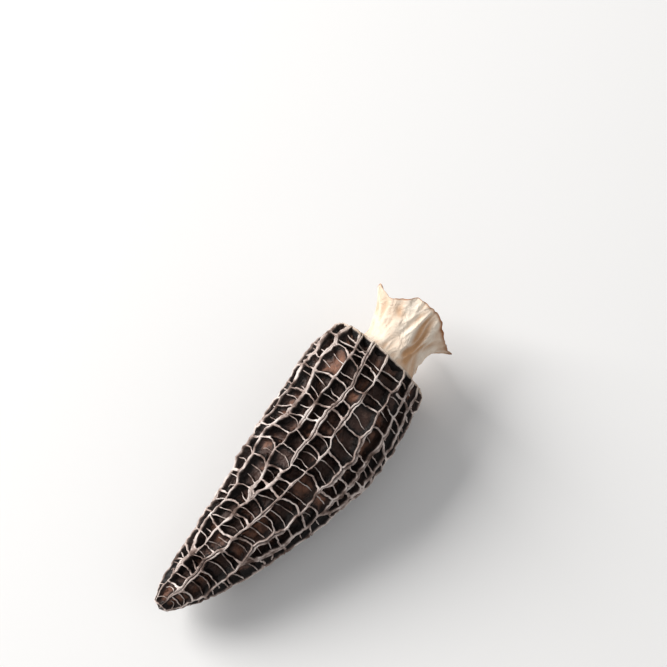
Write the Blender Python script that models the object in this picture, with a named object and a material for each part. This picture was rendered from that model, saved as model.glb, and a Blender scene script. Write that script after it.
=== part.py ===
"""Dried morel mushroom: one hollow fruit body with a ridged, pitted cap and a short flared stem.

The body lies on its side. Lengths here are in millimetres and the finished mesh is in metres.
+X runs from the cap's tip to the cut end of the stem, and +Z is up.
A place on the body is given along its own axis, from the cap's shoulder (0) towards the tip,
and by an angle round that axis, from +Y (0) over +Z (90 degrees).
"""

import math

import bmesh
import bpy
import numpy as np

MM = 0.001
SEED = 11

# Driving dimensions of the cap and the stem
CAP_LENGTH = 66.0
CAP_WIDTH = 25.4
STEM_WAIST = 10.4
STEM_WALL = 0.9
CAP_FLESH = 1.1
PIT_DEPTH = 2.3

# The crest line of the cap, from its shoulder to its tip: share of the length, share of half the width
CAP_PROFILE = [
    (-0.004, 0.60), (-0.008, 0.76), (0.006, 0.885), (0.045, 0.945), (0.12, 0.985), (0.21, 1.0),
    (0.32, 0.975), (0.455, 0.885), (0.60, 0.745), (0.75, 0.585), (0.865, 0.435), (0.94, 0.30),
    (0.985, 0.16), (1.0, 0.0),
]
TIP_RING_RADIUS = 1.7
SHOULDER_EDGE = 4.4  # how far along the outline its corner is
NORMAL_EASE = 4.0  # how far either way the outward directions are averaged

# The dried body is not quite round or straight
BOW = 2.2
BOW_TOWARDS = math.radians(195)
LUMPS = [(2, 0.045, 0.8, 0.40), (3, -0.08, 2.0, 0.30), (1, 0.21, 0.4, 0.28)]

# The net of ribs and cross bars
RIBS = 18
PIT_WIDTH = 4.15
CLOSING_ORDER_STEP = 7  # each column that closes is this many round from the one before
LAST_RIBS = 7  # ribs that run on to the tip
CLOSING_LENGTH = 6.5  # a column narrows over this length before it closes
BLIND_END = 2.0  # the solid corner where a column closes
BAR_SPACING = (0.75, 1.4)  # as a share of the column's width
SHORTEST_PIT, LONGEST_PIT = 2.7, 6.2
SNAP = 0.9  # junctions on a rib closer than this become one
RELAX_ROUNDS = 1
RELAX_SHARE = 0.3
CREST_HALF_WIDTH = 0.32
FOOT_INSET = 0.8  # from the middle of a crest to the foot of a pit's wall

# The torn rim at the stem's cut end, with a horn at 18 degrees and a spike at 192:
# angle in degrees, length from the cap, radius, and how late the stem flares out to it
STEM_RIM = [
    (-10, 10.3, 9.8, 1.7), (4, 10.8, 10.8, 1.6), (18, 11.4, 11.0, 1.6), (32, 10.7, 10.6, 1.65),
    (45, 9.8, 9.2, 1.8), (67, 11.5, 8.6, 2.0), (80, 12.9, 8.5, 2.2), (103, 13.3, 8.5, 2.4),
    (125, 12.8, 8.2, 2.8), (142, 12.0, 7.8, 3.4), (160, 11.1, 7.7, 4.5), (178, 10.2, 8.4, 6.0),
    (192, 10.2, 9.3, 7.0), (207, 9.4, 7.5, 5.0), (232, 9.8, 7.0, 3.4), (262, 11.3, 7.8, 2.6),
    (290, 11.1, 8.4, 2.2), (322, 10.3, 8.9, 2.0),
]

# How the body lies: the axis dips towards the tip, and the crests under it are pressed flat
DIP = math.radians(4.5)
AXIS_HEIGHT = 13.2


def smooth_line(points, samples=600):
    """A cubic line through the points, with the slope at each taken from its neighbours."""
    p = np.array(points, float)
    knots = np.concatenate([[0], np.cumsum(np.linalg.norm(np.diff(p, axis=0), axis=1))])
    slopes = np.gradient(p, knots, axis=0)
    at = np.linspace(0, knots[-1], samples)
    i = np.clip(np.searchsorted(knots, at, side="right") - 1, 0, len(p) - 2)
    span = (knots[i + 1] - knots[i])[:, None]
    u = (at - knots[i])[:, None] / span
    start = (2 * u**3 - 3 * u**2 + 1) * p[i] + (u**3 - 2 * u**2 + u) * span * slopes[i]
    end = (3 * u**2 - 2 * u**3) * p[i + 1] + (u**3 - u**2) * span * slopes[i + 1]
    return start + end


class CrestLine:
    """The cap's outline as a function of the distance t run along it from the shoulder."""

    def __init__(self):
        line = smooth_line(CAP_PROFILE) * (CAP_LENGTH, CAP_WIDTH / 2)
        run = np.concatenate([[0], np.cumsum(np.linalg.norm(np.diff(line, axis=0), axis=1))])
        self.t = np.linspace(0, run[-1], 700)
        self.axial = np.interp(self.t, run, line[:, 0])
        self.radius = np.maximum(np.interp(self.t, run, line[:, 1]), 0)
        self.out_axial, self.out_radial = self.eased_normals()
        past_belly = self.axial > 0.3 * CAP_LENGTH
        self.tip_ring = float(np.interp(-TIP_RING_RADIUS, -self.radius[past_belly], self.t[past_belly]))

    def eased_normals(self):
        """Outward directions, averaged so that they turn slowly enough for pits to sink along them."""
        reach = int(NORMAL_EASE / self.t[1])
        normal = np.stack([-np.gradient(self.radius), np.gradient(self.axial)])
        normal = np.pad(normal / np.hypot(*normal), ((0, 0), (reach, reach)), mode="edge")
        window = np.ones(2 * reach + 1)
        normal = np.stack([np.convolve(part, window, mode="valid") for part in normal])
        return normal / np.hypot(*normal)

    def radius_at(self, t):
        return np.interp(t, self.t, self.radius)

    def point(self, t, angle, height):
        """Points at height above the crest line, which is negative inside the pits."""
        a = np.interp(t, self.t, self.axial) + height * np.interp(t, self.t, self.out_axial)
        r = self.radius_at(t) + height * np.interp(t, self.t, self.out_radial)
        return body_point(a, r, angle)


def body_point(axial, radius, angle):
    """World coordinates of points on the bowed, slightly lumpy body."""
    full = np.clip(2 * radius / CAP_WIDTH, 0, 1)
    lump = sum(size * np.sin(n * angle + rate * axial + phase) for n, rate, phase, size in LUMPS)
    r = radius + lump * full
    bow = BOW * np.sin(math.pi * np.clip(axial / CAP_LENGTH, 0, 1))
    y = r * np.cos(angle) + bow * math.cos(BOW_TOWARDS)
    up = r * np.sin(angle) + bow * math.sin(BOW_TOWARDS)
    x = -axial * math.cos(DIP) - up * math.sin(DIP)
    z = AXIS_HEIGHT - axial * math.sin(DIP) + up * math.cos(DIP)
    return np.stack(np.broadcast_arrays(x, y, z), axis=-1)


class Net:
    """The ribs and cross bars of the cap, as junctions (t, angle, height) and the pits between them."""

    def __init__(self, crest):
        self.crest = crest
        self.random = np.random.default_rng(SEED)
        self.place_ribs()
        self.t, self.angle, self.height, self.owner, self.fixed = [], [], [], [], []
        self.bars = [[] for _ in range(RIBS)]
        self.lay_junctions()
        self.pits, self.blind = [], []
        self.gather_pits()
        self.relax()

    def place_ribs(self):
        """The column widths: each has its own share and wave, and most close before the tip.

        Columns close where the cap has become too thin for so many of about PIT_WIDTH.
        """
        self.share = self.random.uniform(0.84, 1.18, RIBS)
        self.wave_length = self.random.uniform(13, 26, RIBS)
        self.wave_phase = self.random.uniform(0, 2 * math.pi, RIBS)
        self.close = np.full(RIBS, np.inf)
        t = self.crest.t
        behind_belly = t > t[np.argmax(self.crest.radius)]
        room = 2 * math.pi * self.crest.radius[behind_belly] / PIT_WIDTH
        for j in range(RIBS - LAST_RIBS):
            column = (j * CLOSING_ORDER_STEP) % RIBS
            at = np.interp(-(RIBS - 0.5 - j), -room, t[behind_belly])
            self.close[column] = min(at, self.crest.tip_ring - 0.8)

    def rib_angles(self, t):
        """The angle of every rib at t: running sums of the open columns' widths."""
        wave = 1 + 0.16 * np.sin(2 * math.pi * t / self.wave_length + self.wave_phase)
        gap = np.clip((self.close - t) / CLOSING_LENGTH, 0, 1)
        width = self.share * wave * gap**0.75
        width = 2 * math.pi * width / width.sum()
        edges = np.cumsum(width) - width
        drift = (edges - np.arange(RIBS) * 2 * math.pi / RIBS).mean()
        sway = 0.10 * math.sin(t / 14.0) + 0.0035 * t
        return edges - drift + sway, width

    def owner_of(self, rib, t):
        """The rib that carries this one at t, once the columns between them have closed."""
        while t >= self.close[(rib - 1) % RIBS]:
            rib = (rib - 1) % RIBS
        return rib

    def add(self, t, angle, height, owner, fixed=False):
        self.t.append(t)
        self.angle.append(angle)
        self.height.append(height)
        self.owner.append(owner)
        self.fixed.append(fixed)
        return len(self.t) - 1

    def on_rib(self, rib, t):
        """A junction on the rib near t: one that is there already, or a new one."""
        owner = self.owner_of(rib % RIBS, t)
        for i, (at, other) in enumerate(zip(self.t, self.owner)):
            if other == owner and abs(at - t) < SNAP:
                return i
        return self.add(t, self.rib_angles(t)[0][owner], self.random.uniform(-0.3, 0.1), owner)

    def add_bar(self, column, t, slant, arch, sag):
        """A cross bar with an arched, lower middle. It is left out where it would start at the last one."""
        left = self.on_rib(column, t - slant / 2)
        right = self.on_rib(column + 1, t + slant / 2)
        last = self.bars[column][-1]
        if left in last or right in last or left == right:
            return
        turn = (self.angle[right] - self.angle[left]) % (2 * math.pi)
        middle = self.add((self.t[left] + self.t[right]) / 2 - arch, self.angle[left] + turn / 2, -sag, None)
        self.bars[column].append((left, middle, right))

    def lay_junctions(self):
        """The shoulder's ring, the tip's ring, the places where columns close, and the bars."""
        first, width = self.rib_angles(0.0)
        ring = [self.add(0.0, first[k], 0.0, k, True) for k in range(RIBS)]
        for k in range(RIBS):
            middle = self.add(0.0, first[k] + width[k] / 2, 0.0, None, True)
            self.bars[k].append((ring[k], middle, ring[(k + 1) % RIBS]))
        at_edge = self.rib_angles(SHOULDER_EDGE)[0]
        for k in range(RIBS):
            self.add(SHOULDER_EDGE, at_edge[k], 0.0, k, True)
            if np.isfinite(self.close[k]):
                self.on_rib(k, self.close[k])
        end = self.crest.tip_ring
        self.tip = [self.add(end, self.rib_angles(end)[0][k], -0.1, k, True) for k in self.open_columns()]
        for k in range(RIBS):
            self.lay_bars(k)

    def open_columns(self):
        return [k for k in range(RIBS) if not np.isfinite(self.close[k])]

    def lay_bars(self, k):
        """Bars down one column, each about a pit's width from the last."""
        draw = self.random.uniform
        end = min(self.close[k] - BLIND_END, self.crest.tip_ring)
        t = SHOULDER_EDGE + draw(1.6, 4.4)
        while t < end - SHORTEST_PIT:
            width = self.rib_angles(t)[1][k] * self.crest.radius_at(t)
            self.add_bar(k, t, draw(-0.3, 0.3) * width, draw(-0.12, 0.28) * width, draw(0.35, 1.0))
            t += np.clip(width * draw(*BAR_SPACING), SHORTEST_PIT, LONGEST_PIT)
        if np.isfinite(self.close[k]):
            self.add_bar(k, end, 0.0, 0.0, 0.2)

    def between(self, rib, low, high):
        """Junctions on the rib with low < t < high, from the shoulder towards the tip."""
        found = [
            i
            for i, (t, owner) in enumerate(zip(self.t, self.owner))
            if owner is not None and low < t < high and self.owner_of(rib % RIBS, t) == owner
        ]
        return sorted(found, key=lambda i: self.t[i])

    def gather_pits(self):
        """Each pit as the loop of junctions round it, and the solid corners where a column closes."""
        for k in range(RIBS):
            bars = self.bars[k]
            for (a, m, b), (c, n, d) in zip(bars, bars[1:]):
                left = self.between(k, self.t[a], self.t[c])
                right = self.between(k + 1, self.t[b], self.t[d])
                self.pits.append([a, m, b, *right, d, n, c, *left[::-1]])
            a, m, b = bars[-1]
            if np.isfinite(self.close[k]):
                end = self.on_rib(k, self.close[k])
                left = self.between(k, self.t[a], self.t[end])
                right = self.between(k + 1, self.t[b], self.t[end])
                self.blind.append([a, m, b, *right, end, *left[::-1]])
                continue
            j = self.open_columns().index(k)
            c, d = self.tip[j], self.tip[(j + 1) % LAST_RIBS]
            left = self.between(k, self.t[a], self.t[c])
            right = self.between(k + 1, self.t[b], self.t[d])
            self.pits.append([a, m, b, *right, d, c, *left[::-1]])

    def relax(self):
        """Each junction moves towards the middle of its neighbours, which bends the ribs at the bars."""
        pairs = set()
        for loop in [*self.pits, *self.blind, self.tip]:
            pairs |= {tuple(sorted(pair)) for pair in zip(loop, loop[1:] + loop[:1])}
        i, j = np.array(sorted(pairs)).T
        t, angle = np.array(self.t), np.array(self.angle)
        free = ~np.array(self.fixed)
        count = np.bincount(i, minlength=len(t)) + np.bincount(j, minlength=len(t))
        for _ in range(RELAX_ROUNDS):
            step = t[j] - t[i]
            turn = (angle[j] - angle[i] + math.pi) % (2 * math.pi) - math.pi
            for value, gap in ((t, step), (angle, turn)):
                pull = np.bincount(i, gap, len(t)) - np.bincount(j, gap, len(t))
                value[free] += RELAX_SHARE * (pull / count)[free]
        self.t, self.angle, self.height = t, angle, np.array(self.height)


def shrunk(loop, inset):
    """A loop's points moved towards its middle, so that each side moves in by about the inset.

    The shares of the way to the middle are returned with the points. None passes 0.8.
    """
    middle = loop.mean(axis=0)
    side = np.roll(loop, -1, axis=0) - loop
    normal = np.stack([-side[:, 1], side[:, 0]], axis=1)
    reach = np.abs(((middle - loop) * normal).sum(axis=1)) / np.linalg.norm(side, axis=1)
    nearness = 1 / np.maximum(reach, 0.5)
    share = np.minimum(inset * (nearness + np.roll(nearness, 1)) / 2, 0.8)
    return loop + share[:, None] * (middle - loop), share


def new_ring(mesh, points):
    return [mesh.verts.new(point * MM) for point in points]


def join_rings(mesh, outer, inner):
    """A band of quads between two rings of the same count."""
    for k in range(len(outer)):
        after = (k + 1) % len(outer)
        mesh.faces.new((outer[k], outer[after], inner[after], inner[k]))


def close_ring(mesh, ring, point):
    """A fan of triangles from the ring to one point."""
    centre = mesh.verts.new(point * MM)
    for k in range(len(ring)):
        mesh.faces.new((ring[k], ring[(k + 1) % len(ring)], centre))


def sink_pit(mesh, net, corners, loop):
    """A pit: the flat of the crest, the wall down to the foot, and a dished floor."""
    crest = net.crest
    t = net.t[loop]
    angle = net.angle[loop]
    angle = angle[0] + (angle - angle[0] + math.pi) % (2 * math.pi) - math.pi
    radius = crest.radius_at(t.mean())
    flat = np.stack([angle * radius, t], axis=1)
    depth = min(PIT_DEPTH, 0.4 * (0.4 * crest.radius_at(t).min() + 0.6 * radius))
    height = net.height[loop]
    outer = [corners[i] for i in loop]
    for inset, level in ((CREST_HALF_WIDTH, 0.0), (FOOT_INSET, 1.0)):
        points, share = shrunk(flat, inset)
        lowered = height + share * (height.mean() - height) - level * (depth + height)
        inner = new_ring(mesh, crest.point(points[:, 1], points[:, 0] / radius, lowered))
        join_rings(mesh, outer, inner)
        outer = inner
    middle = flat.mean(axis=0)
    close_ring(mesh, outer, crest.point(middle[1], middle[0] / radius, -1.13 * depth))


def stem_rim(angle):
    """The rim's length, radius and lateness at each angle, eased between the rows of STEM_RIM."""
    rows = np.array(STEM_RIM)
    at = np.radians(np.append(rows[:, 0], rows[0, 0] + 360))
    rows = np.vstack([rows, rows[0]])
    turned = at[0] + (angle - at[0]) % (2 * math.pi)
    i = np.clip(np.searchsorted(at, turned, side="right") - 1, 0, len(at) - 2)
    u = (turned - at[i]) / (at[i + 1] - at[i])
    u = (u * u * (3 - 2 * u))[:, None]
    return ((1 - u) * rows[i, 1:] + u * rows[i + 1, 1:]).T


def stem_ring(angle, share, wall):
    """A ring of the stem at a share of its length from the cap, on its skin or the wall's depth inside."""
    length, mouth, lateness = stem_rim(angle)
    root = CAP_PROFILE[0][1] * CAP_WIDTH / 2
    side = np.cos(angle - math.radians(15))
    waist = STEM_WAIST / 2 - 0.25 * side
    radius = waist + (root - waist) * (1 - share) ** (6 + 3 * side) + (mouth - waist) * share**lateness
    wrinkle = np.sin(6 * angle + 2.5 * share) + 0.7 * np.sin(11 * angle - 3 * share + 1)
    radius = radius + 0.2 * math.sin(math.pi * min(1.0, share + 0.12)) * wrinkle
    start = CAP_PROFILE[0][0] * CAP_LENGTH
    return body_point(start - share * length, radius - wall, angle)


def hollow_ring(crest, angle, axial):
    """A ring of the cap's hollow, a flesh's thickness inside the floors of the pits."""
    belly = np.interp(axial, crest.axial[crest.axial > 0], crest.radius[crest.axial > 0])
    shoulder = (STEM_WAIST / 2 - STEM_WALL) + 0.8 * axial
    radius = min(belly - PIT_DEPTH - CAP_FLESH, shoulder)
    return body_point(np.full(len(angle), axial), np.full(len(angle), radius), angle)


def build_stem_and_hollow(mesh, net, corners):
    """From the shoulder's ring out along the stem, over its lip, and back in to the cap's hollow."""
    shoulder = [i for bars in net.bars for i in bars[0][:2]]
    angle = net.angle[shoulder]
    ring = [corners[i] for i in shoulder]
    for share in (0.08, 0.2, 0.36, 0.54, 0.7, 0.84, 0.94, 1.0):
        following = new_ring(mesh, stem_ring(angle, share, 0.0))
        join_rings(mesh, following, ring)
        ring = following
    for share, wall in ((0.985, 0.75), (0.8, 1.0), (0.5, 1.0), (0.2, 1.0)):
        following = new_ring(mesh, stem_ring(angle, share, wall * STEM_WALL))
        join_rings(mesh, following, ring)
        ring = following
    for share in (0.01, 0.045, 0.1, 0.2, 0.33, 0.47, 0.61, 0.74, 0.85):
        following = new_ring(mesh, hollow_ring(net.crest, angle, share * CAP_LENGTH))
        join_rings(mesh, following, ring)
        ring = following
    apex = body_point(0.9 * CAP_LENGTH, 0.0, 0.0)
    close_ring(mesh, ring[::-1], apex)


def dried_skin():
    """Principled material of the dried flesh: dull dark brown."""
    material = bpy.data.materials.new("dried_morel")
    material.use_nodes = True
    shader = material.node_tree.nodes["Principled BSDF"]
    shader.inputs["Base Color"].default_value = (0.105, 0.066, 0.048, 1.0)
    shader.inputs["Roughness"].default_value = 0.78
    shader.inputs["Metallic"].default_value = 0.0
    return material


def pressed_flat(mesh):
    """Crests that would reach under the surface it lies on are pressed flat against it."""
    for vert in mesh.verts:
        vert.co.z = max(vert.co.z, 0.0)


def build_morel():
    for old in list(bpy.data.objects):
        bpy.data.objects.remove(old)
    crest = CrestLine()
    net = Net(crest)
    mesh = bmesh.new()
    corners = new_ring(mesh, crest.point(net.t, net.angle, net.height))
    for loop in net.pits:
        sink_pit(mesh, net, corners, loop)
    for loop in net.blind:
        mesh.faces.new([corners[i] for i in loop])
    close_ring(mesh, [corners[i] for i in net.tip], crest.point(crest.t[-1], 0.0, 0.0))
    build_stem_and_hollow(mesh, net, corners)
    pressed_flat(mesh)
    bmesh.ops.recalc_face_normals(mesh, faces=mesh.faces)
    centre_on_base(mesh)
    data = bpy.data.meshes.new("morel")
    mesh.to_mesh(data)
    mesh.free()
    morel = bpy.data.objects.new("morel", data)
    morel.data.materials.append(dried_skin())
    collection = bpy.data.collections.new("dried_morel")
    bpy.context.scene.collection.children.link(collection)
    collection.objects.link(morel)
    return morel


def centre_on_base(mesh):
    """Moves the body so that the middle of its outline's box is over the origin."""
    places = np.array([vert.co for vert in mesh.verts])
    middle = (places.max(axis=0) + places.min(axis=0)) / 2
    for vert in mesh.verts:
        vert.co.x -= middle[0]
        vert.co.y -= middle[1]


build_morel()
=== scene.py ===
# %% [markdown]
# # A dried morel mushroom
#
# The model behind this script is one closed solid: a long cap with a raised net of ribs round deep
# pits, and a short hollow stem. This script keeps every rib and pit of that solid where it is and
# draws them again finely, with thin wavering crests, walls that fold down into the pits, veins across
# the floors and a wrinkled, torn stem.
#
# Everything is in metres in the model's frame. Sizes on the mushroom are written in millimetres and
# multiplied by MM where they meet Blender.

# %% Load the frame
import math

import bmesh
import bpy
import numpy as np
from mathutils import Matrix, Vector


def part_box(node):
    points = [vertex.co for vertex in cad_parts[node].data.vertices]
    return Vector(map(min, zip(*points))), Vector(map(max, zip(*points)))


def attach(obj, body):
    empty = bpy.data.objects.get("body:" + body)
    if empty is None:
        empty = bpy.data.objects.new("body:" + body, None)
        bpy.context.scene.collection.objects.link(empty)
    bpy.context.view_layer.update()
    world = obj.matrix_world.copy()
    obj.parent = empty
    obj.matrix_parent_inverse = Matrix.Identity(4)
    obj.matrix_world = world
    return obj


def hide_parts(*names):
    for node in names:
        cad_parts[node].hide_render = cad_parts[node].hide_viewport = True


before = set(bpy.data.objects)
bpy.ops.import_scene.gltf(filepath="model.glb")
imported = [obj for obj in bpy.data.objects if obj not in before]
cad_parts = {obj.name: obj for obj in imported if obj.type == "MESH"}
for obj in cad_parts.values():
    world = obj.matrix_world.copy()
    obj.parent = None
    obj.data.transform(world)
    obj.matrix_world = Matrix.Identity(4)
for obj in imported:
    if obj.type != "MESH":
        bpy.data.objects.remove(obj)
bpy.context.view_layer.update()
MM = 0.001
low, high = (np.array(corner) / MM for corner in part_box("morel"))
print("the solid is", (high - low).round(1), "mm")

# %% [markdown]
# ## The camera
#
# In the photograph the mushroom leans with its stem up, and the camera looks down on it almost square
# to its axis. Here it lies flat, and a steeper camera sees the same side of it. The aim is moved off
# the mushroom so that its tip and stem fall where they do in the photograph.

# %% Place the camera
AZIMUTH, ELEVATION = -42.6, 77.0
LENS, SENSOR = 90.0, 36.0
PIXELS = 667
PIXELS_PER_MM = 5.02
OBJECT_PIXEL = (285.0, 457.5)  # where the middle of the mushroom falls in the photograph


def place_camera(middle):
    """The camera looks along the given angles, from where one millimetre is PIXELS_PER_MM wide."""
    a, e = math.radians(AZIMUTH), math.radians(ELEVATION)
    back = Vector((math.sin(a) * math.cos(e), -math.cos(a) * math.cos(e), math.sin(e)))
    right = Vector((math.cos(a), math.sin(a), 0.0))
    up = back.cross(right)
    across = (PIXELS / 2 - OBJECT_PIXEL[0]) / PIXELS_PER_MM * MM
    over = (OBJECT_PIXEL[1] - PIXELS / 2) / PIXELS_PER_MM * MM
    distance = PIXELS / PIXELS_PER_MM * MM * LENS / SENSOR
    data = bpy.data.cameras.new("camera")
    data.lens, data.sensor_width = LENS, SENSOR
    data.clip_start, data.clip_end = 0.01, 10.0
    camera = bpy.data.objects.new("camera", data)
    bpy.context.scene.collection.objects.link(camera)
    camera.location = middle + back * distance
    aim = middle + right * across + up * over
    camera.rotation_euler = (aim - camera.location).to_track_quat("-Z", "Y").to_euler()
    bpy.context.scene.camera = camera
    return back, right


middle = Vector((low + high) / 2 * MM)
camera_back, camera_right = place_camera(middle)
print("camera at", AZIMUTH, "and", ELEVATION, "degrees")

# %% [markdown]
# ## The shape of the body
#
# A morel's cap is a cone whose skin has shrunk on to a net of ribs. A place on it is given by t, the
# distance run along its outline from the shoulder, by an angle round the axis, and by a height above
# the crests. The outline is a smooth line through a few points. The same few numbers and the same
# seed as the solid's give the same body here.

# %% The body's outline
SEED = 11
CAP_LENGTH, CAP_WIDTH = 66.0, 25.4
STEM_WAIST, STEM_WALL = 10.4, 0.9
CAP_FLESH, PIT_DEPTH = 1.1, 2.3
CAP_PROFILE = [
    (-0.004, 0.60), (-0.008, 0.76), (0.006, 0.885), (0.045, 0.945), (0.12, 0.985), (0.21, 1.0),
    (0.32, 0.975), (0.455, 0.885), (0.60, 0.745), (0.75, 0.585), (0.865, 0.435), (0.94, 0.30),
    (0.985, 0.16), (1.0, 0.0),
]
TIP_RING_RADIUS, SHOULDER_EDGE, NORMAL_EASE = 1.7, 4.4, 4.0
BOW, BOW_TOWARDS = 2.2, math.radians(195)
LUMPS = [(2, 0.045, 0.8, 0.40), (3, -0.08, 2.0, 0.30), (1, 0.21, 0.4, 0.28)]
DIP, AXIS_HEIGHT = math.radians(4.5), 13.2


def side_by_side(*columns):
    """Numbers and arrays made equally long and stacked as columns."""
    return np.stack(np.broadcast_arrays(*columns), axis=-1)


def cubic(u, span, start, end, start_slope, end_slope):
    """The cubic from start to end over the span with the given slopes, at u from 0 to 1."""
    near = (2 * u**3 - 3 * u**2 + 1) * start + (u**3 - 2 * u**2 + u) * span * start_slope
    far = (3 * u**2 - 2 * u**3) * end + (u**3 - u**2) * span * end_slope
    return near + far


def smooth_line(points, samples=600):
    """A cubic line through the points, with the slope at each taken from its neighbours."""
    p = np.array(points, float)
    knots = np.concatenate([[0], np.cumsum(np.linalg.norm(np.diff(p, axis=0), axis=1))])
    slopes = np.gradient(p, knots, axis=0)
    at = np.linspace(0, knots[-1], samples)
    i = np.clip(np.searchsorted(knots, at, side="right") - 1, 0, len(p) - 2)
    span = (knots[i + 1] - knots[i])[:, None]
    u = (at - knots[i])[:, None] / span
    return cubic(u, span, p[i], p[i + 1], slopes[i], slopes[i + 1])


def body_point(axial, radius, angle):
    """Points in mm: the radius swells with slow lumps, the axis bows by half a sine and dips."""
    full = np.clip(2 * radius / CAP_WIDTH, 0, 1)
    lump = sum(size * np.sin(n * angle + rate * axial + phase) for n, rate, phase, size in LUMPS)
    r = radius + lump * full
    bow = BOW * np.sin(math.pi * np.clip(axial / CAP_LENGTH, 0, 1))
    y = r * np.cos(angle) + bow * math.cos(BOW_TOWARDS)
    up = r * np.sin(angle) + bow * math.sin(BOW_TOWARDS)
    x = -axial * math.cos(DIP) - up * math.sin(DIP)
    z = AXIS_HEIGHT - axial * math.sin(DIP) + up * math.cos(DIP)
    return side_by_side(x, y, z)


class CrestLine:
    """The cap's outline: distance along the axis and radius as functions of t, and the way out."""

    def __init__(self):
        line = smooth_line(CAP_PROFILE) * (CAP_LENGTH, CAP_WIDTH / 2)
        run = np.concatenate([[0], np.cumsum(np.linalg.norm(np.diff(line, axis=0), axis=1))])
        self.t = np.linspace(0, run[-1], 700)
        self.axial = np.interp(self.t, run, line[:, 0])
        self.radius = np.maximum(np.interp(self.t, run, line[:, 1]), 0)
        self.out_axial, self.out_radial = self.eased_normals()
        past_belly = self.axial > 0.3 * CAP_LENGTH
        self.tip_ring = float(np.interp(-TIP_RING_RADIUS, -self.radius[past_belly], self.t[past_belly]))

    def eased_normals(self):
        """Normals of the outline averaged over NORMAL_EASE each way, then made one long again."""
        reach = int(NORMAL_EASE / self.t[1])
        normal = np.stack([-np.gradient(self.radius), np.gradient(self.axial)])
        normal = np.pad(normal / np.hypot(*normal), ((0, 0), (reach, reach)), mode="edge")
        window = np.ones(2 * reach + 1)
        normal = np.stack([np.convolve(part, window, mode="valid") for part in normal])
        return normal / np.hypot(*normal)

    def radius_at(self, t):
        """The outline's distance from the axis at t."""
        return np.interp(t, self.t, self.radius)

    def point(self, t, angle, height):
        """The outline's point at t, moved out by the height and turned round the axis."""
        a = np.interp(t, self.t, self.axial) + height * np.interp(t, self.t, self.out_axial)
        r = self.radius_at(t) + height * np.interp(t, self.t, self.out_radial)
        return body_point(a, r, angle)


crest = CrestLine()
print("the outline runs", round(float(crest.t[-1]), 1), "mm from shoulder to tip")

# %% [markdown]
# ## The net of ribs
#
# Long ribs run from the shoulder to the tip. The cap narrows, so the columns of pits between them
# close one after another and their ribs meet in a Y. Cross bars cut each column into pits. The net is
# grown by rule from a seed, in the same order as the solid's, so each junction lands on the
# solid's own. Each rib's chain of junctions is kept as well, because a fine rib is a smooth line
# through it.

# %% Grow the net
RIBS, PIT_WIDTH = 18, 4.15
CLOSING_ORDER_STEP, LAST_RIBS, CLOSING_LENGTH, BLIND_END = 7, 7, 6.5, 2.0
BAR_SPACING = (0.75, 1.4)
SHORTEST_PIT, LONGEST_PIT, SNAP = 2.7, 6.2, 0.9
RELAX_ROUNDS, RELAX_SHARE = 1, 0.3


def turn_between(start, end):
    """The shorter way round from one angle to the other, between minus and plus half a turn."""
    return (end - start + math.pi) % (2 * math.pi) - math.pi


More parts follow.
